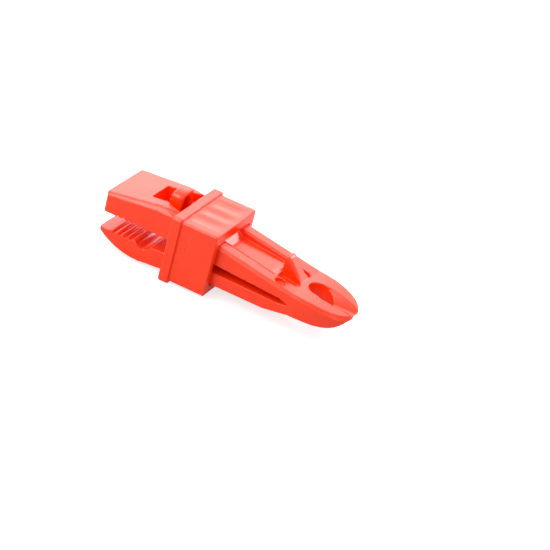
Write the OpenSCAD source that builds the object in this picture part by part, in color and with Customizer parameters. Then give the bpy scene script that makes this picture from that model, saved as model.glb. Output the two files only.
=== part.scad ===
// Tarp clip: a tweezer-shaped body of two jaw arms on one tail, and a collar that slides along the arms.
// X runs from the jaws to the tail, Z is up, and the origin is the centre of the rope eye.
// Heights are above the eye's centre unless a comment says otherwise.

/* [Tail] */
// Width of both arms and of the tail
body_w = 28.2; // [24:0.1:34]
// Length of the rope eye along the clip
eye_l = 11.8; // [11:0.1:15]
// Width of the rope eye
eye_w = 10; // [6:0.1:10.8]
// Solid between the flex line and the rope eye
eye_wall = 1.6; // [1:0.1:4]
// Solid between the rope eye and the tip of the tail
tail_land = 10.4; // [8:0.1:16]
// Height of the tail's top at the flex line
tail_top = 5.2; // [4:0.1:6]
// Depth of the tail's underside below the eye's centre
tail_bottom = 4.7; // [4:0.1:6]
// How far the top falls towards the tip
nose_drop = 3.8; // [2:0.1:4.4]
// Width of the bevel along the tail's top edges near the tip
nose_bevel = 1.2; // [0.6:0.1:2]
// How far the underside rises towards the tip
nose_rise = 5.2; // [3:0.1:5.3]
// Radius of the rope groove from the eye to the tip
groove_r = 6; // [4:0.1:8]
// Height of the rope groove's floor
groove_floor = 0.2; // [-1:0.1:1]

/* [Collar] */
// Length of the collar with its flange
collar_l = 20.9; // [16:0.1:24]
// Height of the collar's bore at its jaw end
bore_h = 21.7; // [21:0.1:24]
// Height of the bore's axis
bore_z = 2.65; // [2.4:0.05:2.9]
// Gap between each side of the body and the bore's jaw end
side_clear = 1; // [0.3:0.1:2]
// Wall of the collar at its jaw end
collar_wall = 3.1; // [1.6:0.1:3.6]
// How far the collar's outside sits above the bore's axis
collar_rise = 0.3; // [0:0.1:0.6]
// Length of the flange at the collar's jaw end
flange_l = 4.7; // [3:0.1:7]
// How far the flange stands proud of the collar
flange_proud = 1.1; // [0.5:0.1:2]
// Radius of the collar's long edges
collar_r = 1.4; // [0.6:0.1:2.4]
// Depth of the finger scallops on the collar
scallop_depth = 0.4; // [0.2:0.1:1.2]
// Width of a finger scallop
scallop_w = 9; // [6:0.1:10]
// Travel of the collar from the clamped place to the fin
collar_travel = 24; // [16:0.5:27]

/* [Upper jaw] */
// Length of the head in front of its shoulder
head_l = 32; // [28:0.1:40]
// Thickness of the head at the tip
head_tip_h = 9; // [7:0.1:10.5]
// Thickness of the head from its crest to the shoulder
head_h = 12.8; // [11.5:0.1:14]
// Distance from the shoulder forward to the crest
crest_l = 8.5; // [6:0.1:14]
// Height of the upper grip face at the shoulder
grip_z = 4.2; // [3.8:0.1:4.6]
// Rise of the upper grip face from the shoulder to the tip
grip_rise = 1; // [0:0.1:2]
// How far each side of both jaws flares out at the tip
jaw_flare = 1.3; // [0:0.1:2]
// Width of the bevel along the head's top edges at the tip
tip_bevel = 0.9; // [0.4:0.1:1.4]
// Width of the bevel along the head's top edges from the crest to the shoulder
head_bevel = 1.6; // [0.8:0.1:2]
// Width of the bevel along the rails' top edges
rail_bevel = 0.6; // [0.2:0.1:1]
// Height of the rails' top at the collar's tail end
rail_z = 11.35; // [10.6:0.05:11.6]
// Width of the channel between the rails
channel_w = 14.4; // [11:0.1:17]
// Depth of the channel at its jaw end
channel_depth = 2.8; // [1.5:0.1:3.4]
// Depth of the channel where it sweeps up to the fin
channel_depth_at_fin = 1.6; // [0.6:0.1:2]
// Width of the pocket in the head
pocket_w = 14.3; // [13:0.1:18]
// Width of the pocket's mouth at the shoulder
mouth_w = 21.8; // [18:0.1:22.4]
// Depth of the pocket
pocket_depth = 7.5; // [3:0.1:8.5]
// Distance from the shoulder forward to the pocket's front wall
pocket_l = 15.4; // [12:0.1:18]

/* [Hook and fin] */
// Width of the finger hook in the pocket
hook_w = 11.8; // [9:0.1:12.6]
// Length of the finger hook along the clip
hook_l = 5.3; // [4:0.1:6.5]
// Height of the finger hook's crown above the head's crest
hook_h = 4.5; // [3:0.1:6]
// Radius of the finger hook's crown
hook_crown_r = 12.5; // [8:0.5:40]
// Gap between the hook and the shoulder's plane
hook_gap = 2.7; // [1.5:0.1:4]
// Width of the stop fin
fin_w = 6.4; // [4:0.1:8]
// Length of the stop fin along the clip
fin_l = 10; // [8:0.1:13]
// Height of the stop fin's edge above the rails' top there
fin_h = 7.2; // [5:0.1:8]

/* [Lower jaw] */
// Gap between the two grip faces at the shoulder
jaw_gap = 6.4; // [5.4:0.1:8]
// Depth of the jaw's rocker below the lower grip face
rocker_depth = 8.4; // [7:0.1:10]
// Radius of the rocker's curve
rocker_r = 30; // [27:0.5:40]
// Distance from the shoulder forward to the rocker's lowest point
rocker_l = 12; // [8:0.1:14]
// Depth of the heel at the shoulder below the lower grip face
heel_depth = 7.4; // [6.6:0.1:8]
// Radius of the hem groove across the lower grip face
hem_r = 3.6; // [2:0.1:4.5]
// Depth of the hem groove
hem_depth = 2.4; // [1:0.1:3]
// Pitch of the grip teeth
tooth_pitch = 2.6; // [1.6:0.1:4]
// Depth of the grip teeth
tooth_depth = 0.8; // [0.3:0.1:1.2]

/* [Hidden] */
$fn = 64;

// One overrun serves every cut.
over = 1;
// Gap of the flex line, where the arms bend on the tail.
flex_gap = 0.2;
// Gap between the arms and the bore where they touch it, and under the lower arm at the bore's tail end.
slide_clear = 0.4;
tail_clear = 0.95;
// Gaps that the collar keeps from the fin and from the shoulder.
stop_clear = 0.5;
shoulder_clear = 0.3;
plastic = "#ff4b2d";

// The slot between the arms: how far its end leans in front of the flex line, and its heights.
slot_lean = 0.9;
slot_end_z = -0.5;
slot_end_h = 0.4;
slot_taper_l = 4;
upper_inner_end_z = 1;
upper_inner_z = 2.7;
lower_inner_end_z = -1.4;
lower_inner_z = -1;

// Places along the clip, from the rope eye forward to the jaws.
flex_x = -eye_l / 2 - eye_wall;
slot_end_x = flex_x - slot_lean;
tip_x = eye_l / 2 + tail_land;
trough_wall = 0.7;
fin_foot_x = flex_x - trough_wall;
fin_x = fin_foot_x - fin_l;
collar_tail_x = fin_x - stop_clear - collar_travel;
collar_x = collar_tail_x - collar_l;
shoulder_x = collar_x - shoulder_clear;
head_x = shoulder_x - head_l;
crest_x = shoulder_x - crest_l;

// Heights that follow from the bore and from the grip faces.
bore_top = bore_z + bore_h / 2;
bore_bottom = bore_z - bore_h / 2;
bore_w = body_w + 2 * side_clear;
collar_z = bore_z + collar_rise;
wedge_top = bore_top - slide_clear;
wedge_bottom = bore_bottom + slide_clear;
lower_back_rise = 1.35;
lower_back_z = wedge_bottom + lower_back_rise;
crest_z = grip_z + head_h;
grip_tip_z = grip_z + grip_rise;
lower_grip_z = grip_z - jaw_gap;
tall = bore_h + head_h;

// Half widths of the body, and of both jaws at the tip.
half_w = body_w / 2;
tip_half_w = half_w + jaw_flare;

// Height of the rails' top at x, on the straight fall from the collar's tail end to the flex line.
function rail_top(x) =
    rail_z + (tail_top - rail_z) * (x - collar_tail_x) / (flex_x - collar_tail_x);
rail_fall = atan((rail_z - tail_top) / (flex_x - collar_tail_x));

// Height of the upper grip face at x.
function grip_at(x) = grip_z + grip_rise * (shoulder_x - x) / head_l;

// An outline in X and Z carried across the clip, centred on its middle plane.
module across(width) {
    rotate([90, 0, 0])
        linear_extrude(height = width, center = true)
            children();
}

// An outline in X and Y carried up through the whole clip.
module upright() {
    translate([0, 0, -tall])
        linear_extrude(height = 2 * tall)
            children();
}

// A rectangle with round corners, centred.
module round_rect(l, w, r) {
    square([l - 2 * r, w], center = true);
    square([l, w - 2 * r], center = true);
    for (sx = [-1, 1], sy = [-1, 1])
        translate([sx * (l / 2 - r), sy * (w / 2 - r)])
            circle(r);
}

// The same rectangle in Y and Z, carried along the clip from x for a length, at a height.
module tube_block(x, length, w, h, r, z) {
    translate([x, 0, z])
        rotate([90, 0, 90])
            linear_extrude(height = length)
                round_rect(w, h, r);
}

// The space under a row of stations [x, top, half width, bevel], bevelled along both of its long edges.
module bevelled(stations) {
    low = -tall;
    ring = 6;
    last = len(stations) - 1;
    points = [for (s = stations) each [
        [s[0], -s[2], low],
        [s[0], -s[2], s[1] - s[3]],
        [s[0], s[3] - s[2], s[1]],
        [s[0], s[2] - s[3], s[1]],
        [s[0], s[2], s[1] - s[3]],
        [s[0], s[2], low]
    ]];
    sides = [for (k = [0 : last - 1], i = [0 : ring - 1])
        let (a = k * ring + i, b = k * ring + (i + 1) % ring)
            [a, b, b + ring, a + ring]];
    polyhedron(
        points = points,
        faces = concat(
            [[for (i = [ring - 1 : -1 : 0]) i]],
            [[for (i = [0 : ring - 1]) last * ring + i]],
            sides
        )
    );
}

// The lowest corner of one tooth groove, at a place on a grip face.
module tooth_groove(x, z) {
    side = tooth_depth * sqrt(2);
    translate([x, 0, z])
        rotate([0, 45, 0])
            cube([side, 2 * tip_half_w + over, side], center = true);
}

tooth_count = 4;
teeth_inset = 7;
tooth_xs = [for (i = [0 : tooth_count - 1]) head_x + teeth_inset + i * tooth_pitch];

// Share of the tail's length where its curves are drawn, from the flex line to the tip.
tail_steps = 20;
tip_share = 0.999;
tail_shares = [for (i = [0 : tail_steps]) tip_share * sin(90 * i / tail_steps)];
bow_power = 2.6;
nose_top_power = 1.45;
nose_bottom_power = 6;
tail_l = tip_x - flex_x;

function tail_x(share) = flex_x + tail_l * share;
function bow_y(share) = half_w * pow(1 - pow(share, bow_power), 1 / bow_power);
function nose_top(share) = tail_top - nose_drop * pow(share, nose_top_power);
function nose_bottom(share) = -tail_bottom + nose_rise * pow(share, nose_bottom_power);

module tail_side() {
    polygon(concat(
        [[slot_end_x, slot_end_z]],
        [for (s = tail_shares) [tail_x(s), nose_top(s)]],
        [for (i = [tail_steps : -1 : 0]) [tail_x(tail_shares[i]), nose_bottom(tail_shares[i])]]
    ));
}

// Bevel of the tail's top edges, which widens towards the tip as far as the tail's thickness allows.
function tail_bevel(share) = min(
    rail_bevel + (nose_bevel - rail_bevel) * pow(share, 2),
    (nose_top(share) - nose_bottom(share)) / 2
);

// The tail: a boat bow with an oblong rope eye and a groove that leads the rope over the tip.
module tail_eye() {
    end_x = (eye_l - eye_w) / 2;
    color(plastic)
        difference() {
            intersection() {
                across(body_w) tail_side();
                bevelled(concat(
                    [[slot_end_x - over, tail_top, half_w, rail_bevel]],
                    [for (s = tail_shares) [tail_x(s), nose_top(s), bow_y(s), tail_bevel(s)]]
                ));
            }
            upright() {
                for (x = [-end_x, end_x])
                    translate([x, 0])
                        circle(eye_w / 2);
                square([2 * end_x, eye_w], center = true);
            }
            translate([end_x, 0, groove_floor + groove_r])
                rotate([0, 90, 0])
                    cylinder(h = tip_x, r = groove_r);
        }
}

head_top = [
    [head_x, grip_tip_z + head_tip_h],
    [crest_x, crest_z],
    [shoulder_x, crest_z]
];
rail_line = [
    [shoulder_x, wedge_top],
    [collar_tail_x, rail_z],
    [flex_x - flex_gap, tail_top]
];
head_half_ws = [tip_half_w, half_w, half_w];
head_bevels = [tip_bevel, head_bevel, head_bevel];

// Side outline of the upper arm, from the root round the underside and over the top.
module upper_side() {
    polygon(concat(
        [
            [slot_end_x - flex_gap, slot_end_z + slot_end_h / 2],
            [slot_end_x - slot_taper_l, upper_inner_end_z],
            [collar_tail_x, upper_inner_z],
            [shoulder_x, grip_z],
            [head_x, grip_tip_z]
        ],
        head_top,
        rail_line
    ));
}

jaw_corner_r = 1.9;
jaw_corner_steps = 6;

// The round corner of a jaw's tip on one side, from the side to the end.
function jaw_corner(side) = [for (i = [0 : jaw_corner_steps])
    let (a = 90 * i / jaw_corner_steps)
        [head_x + jaw_corner_r * (1 - sin(a)), side * (tip_half_w - jaw_corner_r * (1 - cos(a)))]];

// Plan of either arm: straight to the crest, then flaring to the round corners of the tip.
module arm_plan() {
    near = jaw_corner(-1);
    far = jaw_corner(1);
    polygon(concat(
        [[flex_x, -half_w], [crest_x, -half_w]],
        near,
        [for (i = [jaw_corner_steps : -1 : 0]) far[i]],
        [[crest_x, half_w], [flex_x, half_w]]
    ));
}

ramp_run = 4.3;
sweep_run = 4.4;
sweep_shares = [0, 0.25, 0.5, 0.7, 0.85, 1];

// The channel between the rails: a ramp at its jaw end, a sloping floor, and a sweep up to the fin.
module channel() {
    floor_x = collar_tail_x + stop_clear + over;
    ramp_x = floor_x - ramp_run;
    sweep_x = fin_x - sweep_run;
    across(channel_w)
        polygon(concat(
            [[ramp_x, rail_top(ramp_x)], [floor_x, rail_top(floor_x) - channel_depth]],
            [for (s = sweep_shares)
                let (x = sweep_x + sweep_run * s)
                    [x, rail_top(x) - channel_depth_at_fin * (1 - s * s)]],
            [[fin_x, crest_z], [ramp_x, crest_z]]
        ));
}

trough_w = (channel_w - fin_w) / 2;
trough_depth = 1.6;
trough_inset = 0.6;
trough_end_x = fin_foot_x - trough_w / 2;

// The two troughs beside the fin, with round ends at the fin's foot.
module troughs() {
    start_x = fin_x + trough_inset;
    intersection() {
        across(channel_w + over)
            polygon([
                [start_x, rail_top(start_x) - trough_depth],
                [fin_foot_x, rail_top(fin_foot_x) - trough_depth],
                [fin_foot_x, crest_z],
                [start_x, crest_z]
            ]);
        upright()
            for (side = [-1, 1])
                translate([0, side * (fin_w + trough_w) / 2]) {
                    translate([start_x, -trough_w / 2])
                        square([trough_end_x - start_x, trough_w]);
                    translate([trough_end_x, 0])
                        circle(trough_w / 2);
                }
    }
}

fin_face_run = 0.3;
fin_edge = 1.1;
fin_edge_x = fin_x + fin_face_run;
fin_edge_z = rail_top(fin_edge_x) + fin_h;
fin_ramp_x = fin_edge_x + 2 * fin_edge;
fin_ramp_z = fin_edge_z - fin_edge / 2;
fin_base_z = rail_top(fin_foot_x) - trough_depth;

// Height of the fin's ramp at x.
function fin_ramp(x) =
    fin_ramp_z + (rail_top(fin_foot_x) - fin_ramp_z) * (x - fin_ramp_x) / (fin_foot_x - fin_ramp_x);

// The stop fin: a steep face towards the collar, and a ramp towards the tail whose foot spreads out.
module fin() {
    across(fin_w)
        polygon([
            [fin_x, fin_base_z],
            [fin_x, rail_top(fin_x)],
            [fin_edge_x, fin_edge_z - fin_edge],
            [fin_edge_x + fin_edge, fin_edge_z],
            [fin_ramp_x, fin_ramp_z],
            [fin_foot_x, rail_top(fin_foot_x)],
            [fin_foot_x, fin_base_z]
        ]);
    difference() {
        across(fin_w + trough_w)
            polygon([
                [trough_end_x, fin_base_z],
                [trough_end_x, fin_ramp(trough_end_x)],
                [fin_foot_x, rail_top(fin_foot_x)],
                [fin_foot_x, fin_base_z]
            ]);
        troughs();
    }
}

pocket_r = 1.2;
pocket_floor = crest_z - pocket_depth;
// How far the pocket runs on under the collar, and how far from the shoulder its mouth starts to widen.
pocket_under = 4;
mouth_l = 7.5;

// The pocket that a fingertip reaches into, in front of the hook and behind it.
module pocket() {
    length = pocket_l + pocket_under;
    translate([shoulder_x - pocket_l + length / 2, 0, pocket_floor])
        linear_extrude(height = tall)
            round_rect(length, pocket_w, pocket_r);
    translate([shoulder_x, 0, wedge_top])
        linear_extrude(height = tall)
            polygon([
                [-mouth_l, -pocket_w / 2],
                [0, -mouth_w / 2],
                [over, -mouth_w / 2],
                [over, mouth_w / 2],
                [0, mouth_w / 2],
                [-mouth_l, pocket_w / 2]
            ]);
}

hook_top = crest_z + hook_h;
hook_wall = 3;
hook_recess = 3.6;
hook_mouth = 0.8;
hook_edge_r = 0.9;

// The finger hook: a slightly crowned block with an arched recess in the face towards the collar.
module hook() {
    x = shoulder_x - hook_gap - hook_l;
    face_x = x + hook_l;
    arch_r = hook_w / 2 - hook_wall;
    arch_z = hook_top - hook_wall - arch_r;
    hook_block_h = hook_top - pocket_floor + over;
    difference() {
        intersection() {
            translate([x, 0, pocket_floor - over + hook_block_h / 2])
                rotate([90, 0, 90])
                    linear_extrude(height = hook_l)
                        round_rect(hook_w, hook_block_h, hook_edge_r);
            translate([x, 0, hook_top - hook_crown_r])
                rotate([0, 90, 0])
                    cylinder(h = hook_l, r = hook_crown_r);
        }
        translate([face_x - hook_recess, 0, arch_z])
            rotate([0, 90, 0])
                cylinder(h = hook_recess + over, r = arch_r);
        translate([face_x - hook_mouth, 0, arch_z])
            rotate([0, 90, 0])
                cylinder(h = 2 * hook_mouth, r1 = arch_r, r2 = arch_r + 2 * hook_mouth);
        translate([face_x - hook_recess, -arch_r, pocket_floor])
            cube([hook_recess + over, 2 * arch_r, arch_z - pocket_floor]);
    }
}

mark_r = 2.2;
mark_depth = 2.2;
mark_shift = -0.5;
mark_x = fin_x + fin_l / 3;

// The round recess in one rail beside the fin.
module rail_mark() {
    translate([mark_x, -(body_w + channel_w) / 4 - mark_shift, rail_top(mark_x)])
        rotate([0, rail_fall, 0])
            translate([0, 0, -mark_depth])
                cylinder(h = mark_depth + over, r = mark_r);
}

lead_l = 6.6;
lead_w = 3;
lead_step = 0.5;
lead_drop = 2.2;

// The lead-in facet on a leg of the head: it starts at the bevel and falls towards the shoulder's outer corner.
module lead_in(side) {
    end_x = shoulder_x + over;
    y_in = side * (half_w - lead_w);
    y_out = side * (half_w + over);
    polyhedron(
        points = [
            [shoulder_x - lead_l, side * (half_w - head_bevel), crest_z],
            [end_x, y_in, crest_z - lead_step],
            [end_x, y_out, crest_z - lead_drop],
            [end_x, y_out, crest_z + over],
            [end_x, y_in, crest_z + over]
        ],
        faces = side > 0
            ? [[0, 1, 2], [0, 2, 3], [0, 3, 4], [0, 4, 1], [1, 4, 3, 2]]
            : [[0, 2, 1], [0, 3, 2], [0, 4, 3], [0, 1, 4], [1, 2, 3, 4]]
    );
}

// The upper arm: a thick jaw head with a pocketed finger hook, and two rails with the fin between them.
module upper_jaw() {
    color(plastic) {
        difference() {
            intersection() {
                across(2 * tip_half_w) upper_side();
                upright() arm_plan();
                union() {
                    bevelled([for (i = [0 : len(head_top) - 1])
                        concat(head_top[i], head_half_ws[i], head_bevels[i])]);
                    bevelled([for (p = rail_line) concat(p, half_w, rail_bevel)]);
                }
            }
            channel();
            troughs();
            pocket();
            rail_mark();
            for (x = tooth_xs)
                tooth_groove(x, grip_at(x));
            for (side = [-1, 1])
                lead_in(side);
        }
        hook();
        fin();
    }
}

lip_h = 1.8;
rocker_x = shoulder_x - rocker_l;
rocker_z = lower_grip_z - rocker_depth;
hem_shift = 0.6;

// Side outline of the lower arm: the rocker's curve is cut in the module below.
module lower_side() {
    polygon([
        [head_x, lower_grip_z],
        [shoulder_x, lower_grip_z],
        [collar_tail_x, lower_inner_z],
        [slot_end_x - slot_taper_l, lower_inner_end_z],
        [slot_end_x - flex_gap, slot_end_z - slot_end_h / 2],
        [flex_x - flex_gap, -tail_bottom],
        [fin_x, lower_back_z],
        [collar_tail_x, lower_back_z],
        [shoulder_x, wedge_bottom],
        [shoulder_x, lower_grip_z - heel_depth],
        [rocker_x, rocker_z],
        [head_x, rocker_z]
    ]);
}

// The lower arm: a boat-shaped jaw with a hem groove, on a slim back that the collar rides on.
module lower_jaw() {
    color(plastic)
        difference() {
            intersection() {
                across(2 * tip_half_w) lower_side();
                upright() arm_plan();
            }
            difference() {
                translate([head_x - over, -body_w, rocker_z - over])
                    cube([rocker_x - head_x + over, 2 * body_w, rocker_depth - lip_h + over]);
                translate([rocker_x, 0, rocker_z + rocker_r])
                    rotate([90, 0, 0])
                        cylinder(h = 2 * body_w + 2 * over, r = rocker_r, center = true, $fn = 128);
            }
            translate([rocker_x + hem_shift, 0, lower_grip_z + hem_r - hem_depth])
                rotate([90, 0, 0])
                    cylinder(h = 2 * tip_half_w + over, r = hem_r, center = true);
            for (x = tooth_xs)
                tooth_groove(x, lower_grip_z);
        }
}

scallop_end = 1.5;
scallop_r = (pow(scallop_w / 2, 2) + pow(scallop_depth, 2)) / (2 * scallop_depth);

// The three scallops side by side on the collar's top or underside, behind the flange.
module scallops(side) {
    face_z = collar_z + side * (bore_h / 2 + collar_wall);
    for (i = [-1 : 1])
        translate([collar_x, i * scallop_w, face_z + side * (scallop_r - scallop_depth)])
            rotate([0, 90, 0])
                cylinder(h = collar_l - scallop_end, r = scallop_r, $fn = 256);
}

// The bore narrows towards the tail end, where it fits the arms as they lie when clamped.
bore_tail_top = rail_z + slide_clear;
bore_tail_bottom = lower_back_z - tail_clear;
bore_tail_w = body_w + side_clear;

// The space inside the collar.
module bore() {
    r = collar_r / 2;
    hull() {
        tube_block(collar_x - over, over, bore_w, bore_h, r, bore_z);
        tube_block(collar_tail_x, over, bore_tail_w, bore_tail_top - bore_tail_bottom, r,
            (bore_tail_top + bore_tail_bottom) / 2);
    }
}

// The collar: a sleeve round both arms, with a flange at the jaw end and finger scallops.
module locking_collar() {
    outer_w = bore_w + 2 * collar_wall;
    outer_h = bore_h + 2 * collar_wall;
    color(plastic)
        difference() {
            union() {
                difference() {
                    tube_block(collar_x, collar_l, outer_w, outer_h, collar_r, collar_z);
                    for (side = [-1, 1])
                        scallops(side);
                }
                tube_block(collar_x, flange_l, outer_w + 2 * flange_proud,
                    outer_h + 2 * flange_proud, collar_r + flange_proud / 2, collar_z);
            }
            bore();
        }
}

tail_eye();
upper_jaw();
lower_jaw();
locking_collar();
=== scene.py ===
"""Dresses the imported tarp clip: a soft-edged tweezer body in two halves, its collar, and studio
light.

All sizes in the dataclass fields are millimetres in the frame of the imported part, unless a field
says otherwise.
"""

import logging
from dataclasses import astuple, dataclass
from enum import Enum
from typing import Any

import bmesh
import bpy
import numpy as np
from mathutils import Matrix, Vector


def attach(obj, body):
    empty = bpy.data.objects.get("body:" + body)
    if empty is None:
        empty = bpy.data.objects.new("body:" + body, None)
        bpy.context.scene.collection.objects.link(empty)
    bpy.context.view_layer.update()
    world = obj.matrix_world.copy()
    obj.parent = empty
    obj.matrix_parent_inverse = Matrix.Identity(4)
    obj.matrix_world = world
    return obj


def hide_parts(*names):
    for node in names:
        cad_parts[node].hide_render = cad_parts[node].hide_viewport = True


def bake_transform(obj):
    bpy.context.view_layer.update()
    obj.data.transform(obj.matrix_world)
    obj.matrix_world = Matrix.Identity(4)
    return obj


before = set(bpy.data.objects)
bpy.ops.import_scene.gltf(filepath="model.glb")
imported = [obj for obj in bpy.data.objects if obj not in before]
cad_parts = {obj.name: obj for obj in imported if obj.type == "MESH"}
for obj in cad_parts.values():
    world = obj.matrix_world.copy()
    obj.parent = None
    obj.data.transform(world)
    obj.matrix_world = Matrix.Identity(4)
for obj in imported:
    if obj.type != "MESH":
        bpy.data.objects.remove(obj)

LOG = logging.getLogger("tarp_clip")
MM = 0.001
WHITE = (1.0, 1.0, 1.0, 1.0)
# Points closer than the first, in millimetres, are one, and faces that turn by less than the
# second, in degrees, lie in one plane.
WELD_MM = 0.001
FLAT_DEG = 0.2
# How far each step of relaxing moves a point to the mean of its neighbours.
RELAX_SHARE = 0.5
# A Mix node has sockets of the same name for each kind of value, so its colours go by number.
MIX_SHARE, MIX_FIRST, MIX_SECOND, MIX_RESULT = 0, 6, 7, 2

Triple = tuple[float, float, float]


class Half(Enum):
    """The two pieces that the body's visual mesh is parted into."""

    UPPER = "upper"
    LOWER = "lower"


def linear(hex_colour: str) -> tuple[float, float, float, float]:
    """Turns an sRGB hex colour into linear RGBA.

    Args:
        hex_colour: Six hex digits after a hash sign.

    Returns:
        The linear red, green and blue, and an alpha of 1.
    """
    srgb = np.array([int(hex_colour[i : i + 2], 16) for i in (1, 3, 5)]) / 255
    low, high = srgb / 12.92, ((srgb + 0.055) / 1.055) ** 2.4
    return (*np.where(srgb <= 0.04045, low, high).tolist(), 1.0)


def smooth_step(share: np.ndarray) -> np.ndarray:
    """Eases a share in and out: three times its square less twice its cube, from 0 to 1."""
    held = np.clip(share, 0, 1)
    return held * held * (3 - 2 * held)


def add_node(
    tree: Any,
    kind: str,
    settings: dict[str | int, Any] | None = None,
    links: dict[str | int, Any] | None = None,
) -> Any:
    """Adds a shader node, sets its properties and input values, and links its inputs.

    Args:
        tree: The node tree to add to.
        kind: The node's type name.
        settings: Properties by name, and input values by the socket's name or number.
        links: Output sockets by the name or number of the input that they go to.

    Returns:
        The new node.
    """
    node = tree.nodes.new(kind)
    for key, value in (settings or {}).items():
        if isinstance(key, int) or key in node.inputs:
            node.inputs[key].default_value = value
        else:
            setattr(node, key, value)
    for key, output in (links or {}).items():
        tree.links.new(output, node.inputs[key])
    return node


def vertex_places(mesh: bpy.types.Mesh) -> np.ndarray:
    """Returns a mesh's vertex places in metres, one row each."""
    places = np.empty(len(mesh.vertices) * 3, np.float32)
    mesh.vertices.foreach_get("co", places)
    return places.reshape(-1, 3).astype(float)


def set_places(mesh: bpy.types.Mesh, places: np.ndarray) -> None:
    """Moves a mesh's vertices to places in metres, one row each."""
    mesh.vertices.foreach_set("co", places.astype(np.float32).ravel())


def mesh_from_grid(name: str, points: np.ndarray, faces: np.ndarray) -> bpy.types.Mesh:
    """Puts whole arrays of points and quads into a smooth-shaded mesh.

    Args:
        name: The mesh's name.
        points: Vertex places in metres, one row each.
        faces: Vertex numbers of each quad, one row each.

    Returns:
        The new mesh.
    """
    mesh = bpy.data.meshes.new(name)
    mesh.vertices.add(len(points))
    set_places(mesh, points)
    mesh.loops.add(faces.size)
    mesh.loops.foreach_set("vertex_index", faces.astype(np.int32).ravel())
    mesh.polygons.add(len(faces))
    starts = np.arange(0, faces.size, faces.shape[1], dtype=np.int32)
    mesh.polygons.foreach_set("loop_start", starts)
    mesh.update(calc_edges=True)
    mesh.polygons.foreach_set("use_smooth", np.ones(len(faces), bool))
    return mesh


def merged(mesh: bpy.types.Mesh) -> bpy.types.Mesh:
    """Welds a mesh's loose triangles and joins those that lie in one plane.

    Args:
        mesh: The mesh, which is changed.

    Returns:
        The same mesh.
    """
    work = bmesh.new()
    work.from_mesh(mesh)
    bmesh.ops.remove_doubles(work, verts=work.verts, dist=WELD_MM * MM)
    bmesh.ops.dissolve_limit(
        work, angle_limit=np.radians(FLAT_DEG), verts=work.verts, edges=work.edges
    )
    work.to_mesh(mesh)
    work.free()
    return mesh


def evaluated(piece: bpy.types.Object) -> bpy.types.Mesh:
    """Returns a new mesh of an object with its modifiers applied."""
    shown = piece.evaluated_get(bpy.context.evaluated_depsgraph_get())
    return bpy.data.meshes.new_from_object(shown)


def add_relaxing(piece: bpy.types.Object, steps: int, group: str = "") -> None:
    """Adds a modifier that evens out an object's points, or only those of one vertex group."""
    relax = piece.modifiers.new("relax", "SMOOTH")
    relax.factor, relax.iterations, relax.vertex_group = RELAX_SHARE, steps, group


def place(mesh: bpy.types.Mesh, finish: "MouldedGloss") -> bpy.types.Object:
    """Makes a scene object of a mesh, at the origin, in the clip's finish.

    Args:
        mesh: The finished mesh, whose name the object takes.
        finish: The finish that it gets.

    Returns:
        The object, linked to the scene.
    """
    piece = bpy.data.objects.new(mesh.name, mesh)
    bpy.context.scene.collection.objects.link(piece)
    mesh.materials.clear()
    mesh.materials.append(finish.material())
    return piece


@dataclass(frozen=True)
class MouldedGloss:
    """Polypropylene, injection moulded in a polished tool: a deep orange-red with a soft gloss."""

    name: str = "polypropylene_moulded_gloss"
    colour: str = "#ff3b06"
    cool_colour: str = "#fc3404"
    roughness: float = 0.25
    roughness_spread: float = 0.03
    ior: float = 1.49
    # The light that enters the plastic and leaves it again: its share, its depth and how far
    # red, green and blue go of that depth.
    glow_share: float = 0.25
    glow_mm: float = 1.2
    glow_radius: Triple = (1.0, 0.3, 0.12)
    # Size of the flow clouds, and the part of their pattern's range that the gloss follows.
    flow_mm: float = 14.0
    flow_range: tuple[float, float] = (0.3, 0.7)
    grain_mm: float = 0.9
    grain_height_mm: float = 0.001

    def material(self) -> bpy.types.Material:
        """Returns the finish's material, made on its first use.

        The eye sees one strong colour with faint flow clouds from the gate, a gloss that varies a
        little, and an orange-peel grain. The real grain is finer than a pixel, so it is drawn
        coarser than it is.
        """
        found = bpy.data.materials.get(self.name)
        if found:
            return found
        material = bpy.data.materials.new(self.name)
        material.use_nodes = True
        tree = material.node_tree
        tree.nodes.clear()
        coordinates = add_node(tree, "ShaderNodeTexCoord").outputs["Object"]
        flow = add_node(
            tree,
            "ShaderNodeTexNoise",
            {"Scale": 1 / (self.flow_mm * MM), "Detail": 3.0, "Roughness": 0.5},
            {"Vector": coordinates},
        ).outputs["Fac"]
        grain = add_node(
            tree,
            "ShaderNodeTexNoise",
            {"Scale": 1 / (self.grain_mm * MM), "Detail": 2.0, "Roughness": 0.6},
            {"Vector": coordinates},
        ).outputs["Fac"]
        colour = add_node(
            tree,
            "ShaderNodeMix",
            {
                "data_type": "RGBA",
                MIX_FIRST: linear(self.cool_colour),
                MIX_SECOND: linear(self.colour),
            },
            {MIX_SHARE: flow},
        ).outputs[MIX_RESULT]
        gloss = add_node(
            tree,
            "ShaderNodeMapRange",
            {
                "From Min": self.flow_range[0],
                "From Max": self.flow_range[1],
                "To Min": self.roughness - self.roughness_spread,
                "To Max": self.roughness + self.roughness_spread,
            },
            {"Value": flow},
        ).outputs["Result"]
        bump = add_node(
            tree,
            "ShaderNodeBump",
            {"Strength": 1.0, "Distance": self.grain_height_mm * MM},
            {"Height": grain},
        ).outputs["Normal"]
        shader = add_node(
            tree,
            "ShaderNodeBsdfPrincipled",
            {
                "IOR": self.ior,
                "Subsurface Weight": self.glow_share,
                "Subsurface Radius": self.glow_radius,
                "Subsurface Scale": self.glow_mm * MM,
            },
            {"Base Color": colour, "Roughness": gloss, "Normal": bump},
        ).outputs["BSDF"]
        add_node(tree, "ShaderNodeOutputMaterial", links={"Surface": shader})
        return material


@dataclass(frozen=True)
class EdgeStation:
    """How the body's top edge runs at one place along the clip."""

    x: float
    top_z: float
    half_w: float
    bevel: float


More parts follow.
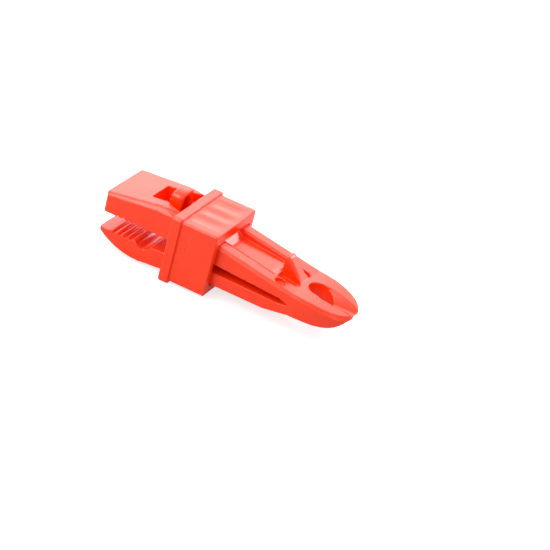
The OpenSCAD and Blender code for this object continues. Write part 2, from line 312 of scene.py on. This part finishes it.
@dataclass
class TweezerBody:
    """The tweezer-shaped body: tail and both arms as one moulding.

    Its skin is parted at mid height into an upper and a lower half.
    """

    # The arms' root faces at the end of the slot, how far they reach into the tail, and how far a
    # point may lie off such a face and past its ends to count as one of its points.
    flex_x: float = -7.5
    slot_end_x: float = -8.4
    flex_gap: float = 0.2
    root_overlap: float = 0.3
    root_off: float = 0.05
    root_past: float = 0.1
    top_z: float = 5.2
    bottom_z: float = -4.7
    slot_z: float = -0.5
    slot_end_h: float = 0.4
    # The skin's voxels, how often it is relaxed, and the share of its faces that is kept.
    voxel: float = 0.23
    relax_steps: int = 3
    soft_relax_steps: int = 80
    kept_share: float = 0.45
    # Lowest and highest corners of the boxes that are relaxed further: the hook's crown and the
    # fin, whose edges are rounder than the rest, and the flats beside the eye in the tail.
    soft_boxes: tuple[tuple[Triple, Triple], ...] = (
        ((-72.6, -6.6, 17.4), (-66.0, 6.6, 22.0)),
        ((-18.8, -3.9, 6.6), (-8.4, 3.9, 15.0)),
        ((0.0, -11.0, 1.5), (8.0, -6.2, 6.0)),
        ((0.0, 6.2, 1.5), (8.0, 11.0, 6.0)),
    )
    # Where an arm starts to leave the tail as it bends, and where it has left it.
    bend_start_x: float = -7.0
    bend_end_x: float = -20.0
    # The top edge at the jaw's tip, the head's crest, both sides of the shoulder's step and the
    # collar's tail end. The arm's root follows as the last one.
    stations: tuple[EdgeStation, ...] = (
        EdgeStation(-95.9, 14.2, 15.4, 0.9),
        EdgeStation(-72.4, 17.0, 14.1, 1.6),
        EdgeStation(-63.9, 17.0, 14.1, 1.6),
        EdgeStation(-63.89, 13.1, 14.1, 0.6),
        EdgeStation(-42.7, 11.35, 14.1, 0.6),
    )
    root_half_w: float = 14.1
    root_bevel: float = 0.6
    # The tail's bow: its tip, its power, how far its top falls, and how much its bevel grows. The
    # bow is followed to just short of the tip, where its width would be nothing.
    tip_x: float = 16.3
    bow_end: float = 0.999
    bow_power: float = 2.6
    tail_fall: float = 3.8
    tail_fall_power: float = 1.45
    tail_bevel_gain: float = 0.6
    # The ledge beside the top bevels: its depth, the run of its slope, and how many such runs
    # below the bevel it ends.
    ledge_depth: float = 0.55
    ledge_run: float = 0.25
    ledge_reach: float = 2.0
    # The fine groove along each rail's inner edge: its ends, its middle across, its half width
    # and its depth.
    groove_ends: tuple[float, float] = (-46.0, -18.6)
    groove_y: float = 7.85
    groove_half_w: float = 0.6
    groove_depth: float = 1.2
    # The round recess in the rail at -Y: its centre along and across, its radius, its depth at
    # the inner side, the slant of its floor, and how far down its points are looked for.
    recess_at: tuple[float, float] = (-14.87, -10.15)
    recess_r: float = 2.3
    recess_depth: float = 1.1
    recess_slant: float = 0.25
    recess_reach: float = 4.6

    def _root_moved(self, node: str, root_z: float, slot_side: float) -> np.ndarray:
        """Reads an arm's vertices and pushes its root face into the tail, past the flex gap.

        Args:
            node: The arm's CAD node.
            root_z: Height of the root face's outer edge.
            slot_side: 1 for the arm above the slot, -1 for the one below.

        Returns:
            The arm's vertex places in metres, one row each.
        """
        points = vertex_places(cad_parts[node].data)
        slot_edge_z = self.slot_z + slot_side * self.slot_end_h / 2
        outer = np.array([self.flex_x - self.flex_gap, root_z]) * MM
        inner = np.array([self.slot_end_x - self.flex_gap, slot_edge_z]) * MM
        height = np.linalg.norm(outer - inner)
        along = (outer - inner) / height
        away = points[:, [0, 2]] - inner
        off_line = np.abs(away[:, 0] * along[1] - away[:, 1] * along[0])
        on_line = away @ along
        past = self.root_past * MM
        root = (off_line < self.root_off * MM) & (on_line > -past) & (on_line < height + past)
        points[root, 0] += (self.flex_gap + self.root_overlap) * MM
        return points

    def _solid(self, node: str, points: np.ndarray | None) -> bpy.types.Object:
        """Copies a CAD node as a closed solid of large flat faces.

        Args:
            node: The node's name.
            points: New places for its vertices, or None to keep them.

        Returns:
            The copy, linked to the scene.
        """
        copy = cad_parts[node].data.copy()
        if points is not None:
            set_places(copy, points)
        solid = bpy.data.objects.new(f"{node}_solid", merged(copy))
        bpy.context.scene.collection.objects.link(solid)
        return solid

    def _top_edges(self, x: np.ndarray) -> tuple[np.ndarray, np.ndarray, np.ndarray]:
        """Gives the body's top height, half width and bevel along the clip.

        Head and rails run straight between stations. The tail follows a bow. With s as the share
        of the tail's length, its half width is the root's times the p-th root of one minus s to
        the power of p, its top falls by another power of s, and its bevel grows by the square.

        Args:
            x: Places along the clip.

        Returns:
            Top height, half width and bevel at each place.
        """
        root = EdgeStation(self.flex_x, self.top_z, self.root_half_w, self.root_bevel)
        at, *sizes = np.array([astuple(station) for station in (*self.stations, root)]).T
        top, half, bevel = (np.interp(x, at, size) for size in sizes)
        share = np.clip((x - self.flex_x) / (self.tip_x - self.flex_x), 0, self.bow_end)
        bow = (1 - share**self.bow_power) ** (1 / self.bow_power)
        fall = self.tail_fall * share**self.tail_fall_power
        return top - fall, half * bow, bevel + self.tail_bevel_gain * share**2

    def _add_fine_forms(self, mesh: bpy.types.Mesh) -> bpy.types.Mesh:
        """Adds the ledge beside the top bevels, the rails' grooves and the recess's floor.

        A point sinks by the ledge's depth times a smooth step of how far it lies outside the
        bevel's inner line, and less the further it lies below the bevel. The groove's section is a
        parabola. In the round recess no point lies lower than a plane that falls evenly outwards.

        Args:
            mesh: The body's skin, which is changed.

        Returns:
            The same mesh.
        """
        x, y, z = vertex_places(mesh).T / MM
        top, half, bevel = self._top_edges(x)
        outside = smooth_step((np.abs(y) - half + bevel) / self.ledge_run)
        near_top = np.clip((z - top + bevel) / self.ledge_run + self.ledge_reach, 0, 1)
        near_top *= z < top + self.ledge_run
        across = np.clip(1 - ((np.abs(y) - self.groove_y) / self.groove_half_w) ** 2, 0, 1)
        on_rail = (x > self.groove_ends[0]) & (x < self.groove_ends[1])
        on_rail &= np.abs(z - top) < self.groove_half_w
        sink = self.ledge_depth * outside * near_top + self.groove_depth * across * on_rail
        recess_x, recess_y = self.recess_at
        from_inner = recess_y + self.recess_r - y
        recess_floor = top - self.recess_depth - self.recess_slant * from_inner
        in_recess = np.hypot(x - recess_x, y - recess_y) < self.recess_r
        in_recess &= z > top - self.recess_reach
        z = np.where(in_recess, np.maximum(z, recess_floor), z - sink)
        set_places(mesh, np.stack([x, y, z], axis=1) * MM)
        mesh.update()
        return mesh

    def _soften(self, body: bpy.types.Object) -> None:
        """Relaxes the skin further inside the soft boxes, by a group of the points there.

        Args:
            body: The body's object, which gets the group and a modifier.
        """
        points = vertex_places(body.data)[:, None] / MM
        low, high = np.array(self.soft_boxes).transpose(1, 0, 2)
        inside = np.all((points > low) & (points < high), axis=2).any(axis=1)
        group = body.vertex_groups.new(name="soft_edges")
        group.add(np.flatnonzero(inside).tolist(), 1.0, "REPLACE")
        add_relaxing(body, self.soft_relax_steps, group.name)

    def _fused(self) -> bpy.types.Mesh:
        """Joins copies of the three CAD solids, remeshes them as one skin, and relaxes it.

        The skin is remeshed finely, so that small steps stay, relaxed so that its edges are soft,
        and then thinned where it is flat.

        Returns:
            The whole body's skin.
        """
        arms = {"upper_jaw": (self.top_z, 1.0), "lower_jaw": (self.bottom_z, -1.0)}
        solids = [self._solid(node, self._root_moved(node, *root)) for node, root in arms.items()]
        body = self._solid("tail_eye", None)
        whole = bmesh.new()
        for solid in (*solids, body):
            whole.from_mesh(solid.data)
        bmesh.ops.triangulate(whole, faces=whole.faces)
        body.data = bpy.data.meshes.new("body_solids")
        whole.to_mesh(body.data)
        whole.free()
        skin = body.modifiers.new("skin", "REMESH")
        skin.mode, skin.voxel_size, skin.use_smooth_shade = "VOXEL", self.voxel * MM, True
        add_relaxing(body, self.relax_steps)
        body.data = evaluated(body)
        body.modifiers.clear()
        self._soften(body)
        body.data = self._add_fine_forms(evaluated(body))
        body.modifiers.clear()
        thin = body.modifiers.new("thin", "DECIMATE")
        thin.ratio = self.kept_share
        mesh = evaluated(body)
        for solid in (*solids, body):
            bpy.data.objects.remove(solid)
        return mesh

    def _parted(self, skin: bpy.types.Mesh, half: Half) -> bpy.types.Mesh:
        """Keeps one half of the skin, cut at the slot's height and capped.

        Args:
            skin: The whole body's skin.
            half: Which half to keep.

        Returns:
            The half's mesh, with a sharp edge round the cap.
        """
        part = bmesh.new()
        part.from_mesh(skin)
        cut = bmesh.ops.bisect_plane(
            part,
            geom=part.verts[:] + part.edges[:] + part.faces[:],
            plane_co=(0, 0, self.slot_z * MM),
            plane_no=(0, 0, 1),
            clear_inner=half is Half.UPPER,
            clear_outer=half is Half.LOWER,
        )
        rim = [item for item in cut["geom_cut"] if isinstance(item, bmesh.types.BMEdge)]
        facing = (0, 0, -1 if half is Half.UPPER else 1)
        bmesh.ops.triangle_fill(part, use_beauty=True, edges=rim, normal=facing)
        for edge in rim:
            edge.smooth = False
        mesh = bpy.data.meshes.new(f"body_{half.value}")
        part.to_mesh(mesh)
        part.free()
        mesh.polygons.foreach_set("use_smooth", np.ones(len(mesh.polygons), bool))
        return mesh

    def build(self, finish: MouldedGloss) -> None:
        """Builds both halves, each in place of the CAD nodes that it hides.

        Args:
            finish: The finish that both get.
        """
        skin = self._fused()
        halves = {
            Half.UPPER: ("upper_arm", ("upper_jaw", "tail_eye")),
            Half.LOWER: ("lower_arm", ("lower_jaw",)),
        }
        for half, (arm, nodes) in halves.items():
            piece = place(self._parted(skin, half), finish)
            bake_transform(piece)
            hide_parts(*nodes)
            LOG.info("%s: %d faces", piece.name, len(piece.data.polygons))
        bpy.data.meshes.remove(skin)


@dataclass
class LockingCollar:
    """The sliding collar: a sleeve whose bore narrows to the tail, with a flange at the jaw end.

    Finger scallops cross its top and its underside.
    """

    jaw_x: float = -63.6
    length: float = 20.9
    wall: float = 3.1
    flange_l: float = 4.7
    flange_proud: float = 1.1
    flange_lean: float = 0.35
    # Half width, half height and middle height of the outside, and of the bore's two ends.
    outside: Triple = (18.2, 13.95, 2.95)
    bore_jaw: Triple = (15.1, 10.85, 2.65)
    bore_tail: Triple = (14.6, 9.575, 2.175)
    bore_r: float = 0.7
    outside_r: float = 1.0
    # Radii of the wall's corners, in turn: the bore's tail and jaw ends, the flange's jaw side, its
    # tail side and its foot, and the outside's tail end.
    corner_radii: tuple[float, ...] = (0.3, 0.35, 0.8, 0.25, 0.1, 0.5)
    corner_points: int = 6
    scallop_w: float = 9.0
    scallop_depth: float = 0.38
    scallop_start: float = 2.2
    scallop_end: float = 6.5
    # The outer share of the wall over which the scallops come in.
    scallop_skin: float = 0.1
    # The grid: its widest and narrowest step along the wall, and its columns on each flat and arc.
    step: float = 0.45
    least_step: float = 0.02
    flat_columns: int = 96
    arc_columns: int = 8
    # Where the section's angle has at least this sine, it faces up or down.
    upright_sine: float = 0.99

    def _wall_outline(self) -> np.ndarray:
        """Draws the wall's outline along the collar, with a round at each corner.

        The corners are given as place along the clip and distance out from the bore. Each is cut
        back by its radius along both sides, and an arc of equal angle steps joins the two cuts.
        Straight runs are then divided evenly.

        Returns:
            Rows of place along the clip and distance out from the bore, closed, without a repeated
            last row.
        """
        tail_x, out = self.jaw_x + self.length, self.wall + self.flange_proud
        flange_x = self.jaw_x + self.flange_l
        corners = np.array(
            [
                [tail_x, 0.0],
                [self.jaw_x, 0.0],
                [self.jaw_x, out],
                [flange_x - self.flange_lean, out],
                [flange_x, self.wall],
                [tail_x, self.wall],
            ]
        )
        radii = np.array(self.corner_radii)[:, None]
        back = np.roll(corners, 1, axis=0) - corners
        ahead = np.roll(corners, -1, axis=0) - corners
        back /= np.linalg.norm(back, axis=1, keepdims=True)
        ahead /= np.linalg.norm(ahead, axis=1, keepdims=True)
        centre = corners + radii * (back + ahead)
        turn = np.linspace(0, np.pi / 2, self.corner_points)[None, :, None]
        spokes = ahead[:, None] * np.cos(turn) + back[:, None] * np.sin(turn)
        loop = (centre[:, None] - radii[:, None] * spokes).reshape(-1, 2)
        closed = np.vstack([loop, loop[:1]])
        lengths = np.linalg.norm(np.diff(closed, axis=0), axis=1)
        run = np.concatenate([[0], np.cumsum(lengths)])
        stations = np.union1d(run[:-1], np.arange(0, run[-1], self.step))
        stations = stations[np.concatenate([[True], np.diff(stations) > self.least_step])]
        return np.stack([np.interp(stations, run, closed[:, i]) for i in (0, 1)], axis=1)

    def _section(self) -> tuple[np.ndarray, np.ndarray]:
        """Draws the round-cornered rectangle of the collar's section.

        Going round, each corner turns its angle evenly by a quarter turn at one place, and each
        flat then moves its place evenly to the next corner at one angle.

        Returns:
            Rows of corner place across and up, from -1 to 1, and the angle of each row.
        """
        quarter = np.pi / 2
        turns = np.linspace(0, quarter, self.arc_columns, endpoint=False)
        corners = np.array([[1.0, 1.0], [-1.0, 1.0], [-1.0, -1.0], [1.0, -1.0]])
        places, angles = [], []
        for i, (here, ahead) in enumerate(zip(corners, np.roll(corners, -1, axis=0))):
            places.append(np.tile(here, (self.arc_columns, 1)))
            places.append(np.linspace(here, ahead, self.flat_columns, endpoint=False))
            angles.append(turns + i * quarter)
            angles.append(np.full(self.flat_columns, (i + 1) * quarter))
        return np.concatenate(places), np.concatenate(angles)

    def _sizes(self, x: np.ndarray, out: np.ndarray) -> tuple[np.ndarray, ...]:
        """Gives the section's size, height and corner radius at each place of the wall.

        Inside the wall each size goes straight from the bore's, which itself goes straight from the
        jaw end's to the tail end's, to the outside's. Beyond the wall the flange adds its own
        height all round.

        Args:
            x: Places along the clip.
            out: Distances out from the bore.

        Returns:
            Half width, half height, middle height and corner radius, each shaped as x and out.
        """
        along = (x - self.jaw_x) / self.length
        share = np.clip(out / self.wall, 0, 1)
        beyond = np.clip(out - self.wall, 0, None)
        bore = [jaw + (tail - jaw) * along for jaw, tail in zip(self.bore_jaw, self.bore_tail)]
        half_w, half_h, middle = [
            inner + (outer - inner) * share for inner, outer in zip(bore, self.outside)
        ]
        radius = self.bore_r + (self.outside_r - self.bore_r) * share + beyond / 2
        return half_w + beyond, half_h + beyond, middle, radius

    def _scalloped(self, x: np.ndarray, y: np.ndarray, out: np.ndarray) -> np.ndarray:
        """Gives the depth of the scallops at each point of the sleeve.

        Across the clip three waves of one cosine lie side by side, and the two outer ones end in a
        parabola, whose edge is crisp. They fade in behind the flange and out towards the tail end,
        and only the outside has them.

        Args:
            x: Places along the clip.
            y: Places across the clip.
            out: Distances out from the bore.

        Returns:
            How far each point sinks.
        """
        wave = 0.5 + 0.5 * np.cos(2 * np.pi * y / self.scallop_w)
        bowl = 1 - ((np.abs(y) - self.scallop_w) / (self.scallop_w / 2)) ** 2
        dip = np.where(np.abs(y) < self.scallop_w, wave, np.clip(bowl, 0, 1))
        rise = smooth_step((x - self.jaw_x - self.flange_l) / self.scallop_start)
        fall = smooth_step((self.jaw_x + self.length - x) / self.scallop_end)
        skin = self.wall * self.scallop_skin
        outside = np.clip((out - self.wall + skin) / skin, 0, 1)
        return self.scallop_depth * dip * rise * fall * outside

    def build(self, finish: MouldedGloss) -> None:
        """Carries the wall's outline round the section and closes the surface both ways.

        Args:
            finish: The finish that the collar gets.
        """
        x, out = self._wall_outline().T[:, :, None]
        corner, angle = self._section()
        half_w, half_h, middle, radius = self._sizes(x, out)
        y = corner[:, 0] * (half_w - radius) + radius * np.cos(angle)
        z = corner[:, 1] * (half_h - radius) + radius * np.sin(angle)
        upright = np.abs(np.sin(angle)) > self.upright_sine
        z = z - np.sign(z) * self._scalloped(x, y, out) * upright
        points = np.stack([np.broadcast_to(x, y.shape), y, z + middle], axis=-1)
        number = np.arange(y.size).reshape(y.shape)
        right, below = np.roll(number, -1, axis=1), np.roll(number, -1, axis=0)
        across = np.roll(right, -1, axis=0)
        faces = np.stack([number, right, across, below], axis=-1).reshape(-1, 4)
        mesh = mesh_from_grid("collar_sleeve", points.reshape(-1, 3) * MM, faces)
        piece = place(mesh, finish)
        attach(piece, "collar")
        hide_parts("locking_collar")
        LOG.info("%s: %d faces", piece.name, len(mesh.polygons))


@dataclass(frozen=True)
class SoftBox:
    """A rectangular soft box that faces the clip.

    Its size is width and height, its radiance says how bright its face is, where 1 is white, and
    upright is the direction that its height leans along.
    """

    name: str
    place: Triple
    size: tuple[float, float]
    radiance: float
    upright: Triple = (0, 0, 1)

    def build(self, aim: Vector) -> None:
        """Adds the lamp to the scene.

        Args:
            aim: The point that its face looks at, in metres.
        """
        data = bpy.data.lights.new(self.name, "AREA")
        data.shape = "RECTANGLE"
        data.size, data.size_y = self.size[0] * MM, self.size[1] * MM
        data.energy = np.pi * data.size * data.size_y * self.radiance
        lamp = bpy.data.objects.new(self.name, data)
        at = Vector(self.place) * MM
        back = (at - aim).normalized()
        right = Vector(self.upright).cross(back).normalized()
        turn = Matrix((right, back.cross(right), back)).transposed().to_4x4()
        lamp.matrix_world = Matrix.Translation(at) @ turn
        bpy.context.scene.collection.objects.link(lamp)


@dataclass
class Studio:
    """A pale floor, soft boxes and the fitted camera."""

    # The camera's place, the directions to its right and down, its lens, the width of the picture
    # behind it, and the nearest and furthest that it sees.
    camera_place: Triple = (185.5, -628.4, 353.1)
    right: Triple = (0.8758, 0.4205, 0.2371)
    down: Triple = (0.396, -0.3449, -0.851)
    lens: float = 119.73
    sensor_w: float = 36.0
    sight: tuple[float, float] = (10.0, 50000.0)
    # The floor's own grey, and its glow for the camera and in the clip's gloss, where 1 is white.
    floor_z: float = -12.2
    floor_size: float = 6000.0
    floor_grey: float = 0.47
    floor_glow_seen: float = 0.72
    floor_glow_mirrored: float = 0.22
    # How bright the surroundings are as light, and as the camera and the gloss see them.
    world_light: float = 0.5
    world_seen: float = 1.0
    # The point on the clip that the soft boxes look at.
    aim: Triple = (-40, 0, 0)
    boxes: tuple[SoftBox, ...] = (
        SoftBox("back_box_left", (-485, 800, 500), (850, 800), 1.85),
        SoftBox("back_box_right", (265, 800, 500), (650, 800), 1.5),
        SoftBox("top_box", (-345, -190, 640), (230, 640), 6.0, upright=(0, 1, 0)),
        SoftBox("strip_box", (270, 730, 345), (240, 240), 6.0),
        SoftBox("key_box", (-420, -700, 420), (700, 600), 2.5),
        SoftBox("side_box", (560, -400, 420), (260, 260), 2.0),
        SoftBox("rear_box", (330, 90, 520), (220, 220), 6.0),
        SoftBox("left_box", (-900, -230, 150), (400, 320), 4.0),
    )

    def _camera(self) -> None:
        """Sets the camera at the place and turn that were fitted to the clip's edges."""
        right, up = Vector(self.right).normalized(), -Vector(self.down).normalized()
        back = right.cross(up)
        up = back.cross(right)
        data = bpy.data.cameras.new("camera")
        data.lens, data.sensor_width = self.lens, self.sensor_w
        data.clip_start, data.clip_end = self.sight[0] * MM, self.sight[1] * MM
        camera = bpy.data.objects.new("camera", data)
        turn = Matrix((right, up, back)).transposed().to_4x4()
        camera.matrix_world = Matrix.Translation(Vector(self.camera_place) * MM) @ turn
        bpy.context.scene.collection.objects.link(camera)
        bpy.context.scene.camera = camera

    def _floor_material(self) -> bpy.types.Material:
        """Makes the floor's matt white, whose glow lifts it for the camera and a little in gloss.

        Returns:
            The new material.
        """
        material = bpy.data.materials.new("floor_matt_white")
        material.use_nodes = True
        tree = material.node_tree
        tree.nodes.clear()
        path = add_node(tree, "ShaderNodeLightPath").outputs
        mirrored = add_node(
            tree,
            "ShaderNodeMath",
            {"operation": "MULTIPLY", 1: self.floor_glow_mirrored},
            {0: path["Is Glossy Ray"]},
        ).outputs[0]
        level = add_node(
            tree,
            "ShaderNodeMath",
            {"operation": "MULTIPLY_ADD", 1: self.floor_glow_seen},
            {0: path["Is Camera Ray"], 2: mirrored},
        ).outputs[0]
        grey = (self.floor_grey, self.floor_grey, self.floor_grey, 1)
        glow = add_node(tree, "ShaderNodeEmission", {"Color": WHITE}, {"Strength": level})
        matt = add_node(tree, "ShaderNodeBsdfDiffuse", {"Color": grey})
        both = add_node(tree, "ShaderNodeAddShader", links={0: glow.outputs[0], 1: matt.outputs[0]})
        add_node(tree, "ShaderNodeOutputMaterial", links={"Surface": both.outputs[0]})
        return material

    def _floor(self) -> None:
        """Lays a large pale floor, which keeps the clip's shadow."""
        half, z = self.floor_size / 2 * MM, self.floor_z * MM
        points = np.array([[-half, -half, z], [half, -half, z], [half, half, z], [-half, half, z]])
        mesh = mesh_from_grid("floor", points, np.array([[0, 1, 2, 3]]))
        floor = bpy.data.objects.new("floor", mesh)
        bpy.context.scene.collection.objects.link(floor)
        mesh.materials.append(self._floor_material())

    def _world(self) -> None:
        """Surrounds the scene with an even light that the camera and the gloss see as white."""
        world = bpy.data.worlds.new("studio")
        bpy.context.scene.world = world
        world.use_nodes = True
        tree = world.node_tree
        tree.nodes.clear()
        path = add_node(tree, "ShaderNodeLightPath").outputs
        seen = add_node(
            tree,
            "ShaderNodeMath",
            {"operation": "MAXIMUM"},
            {0: path["Is Camera Ray"], 1: path["Is Glossy Ray"]},
        ).outputs[0]
        level = add_node(
            tree,
            "ShaderNodeMapRange",
            {"To Min": self.world_light, "To Max": self.world_seen},
            {"Value": seen},
        ).outputs["Result"]
        sky = add_node(tree, "ShaderNodeBackground", {"Color": WHITE}, {"Strength": level})
        add_node(tree, "ShaderNodeOutputWorld", links={"Surface": sky.outputs["Background"]})

    def build(self) -> None:
        """Builds the camera, the floor, the world and the lamps."""
        bpy.context.scene.view_settings.view_transform = "Standard"
        self._camera()
        self._floor()
        self._world()
        for box in self.boxes:
            box.build(Vector(self.aim) * MM)


def main() -> None:
    """Builds the studio and the clip."""
    logging.basicConfig(level=logging.INFO, format="%(name)s %(message)s")
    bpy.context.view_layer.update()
    Studio().build()
    finish = MouldedGloss()
    TweezerBody().build(finish)
    LockingCollar().build(finish)


if __name__ == "__main__":
    main()
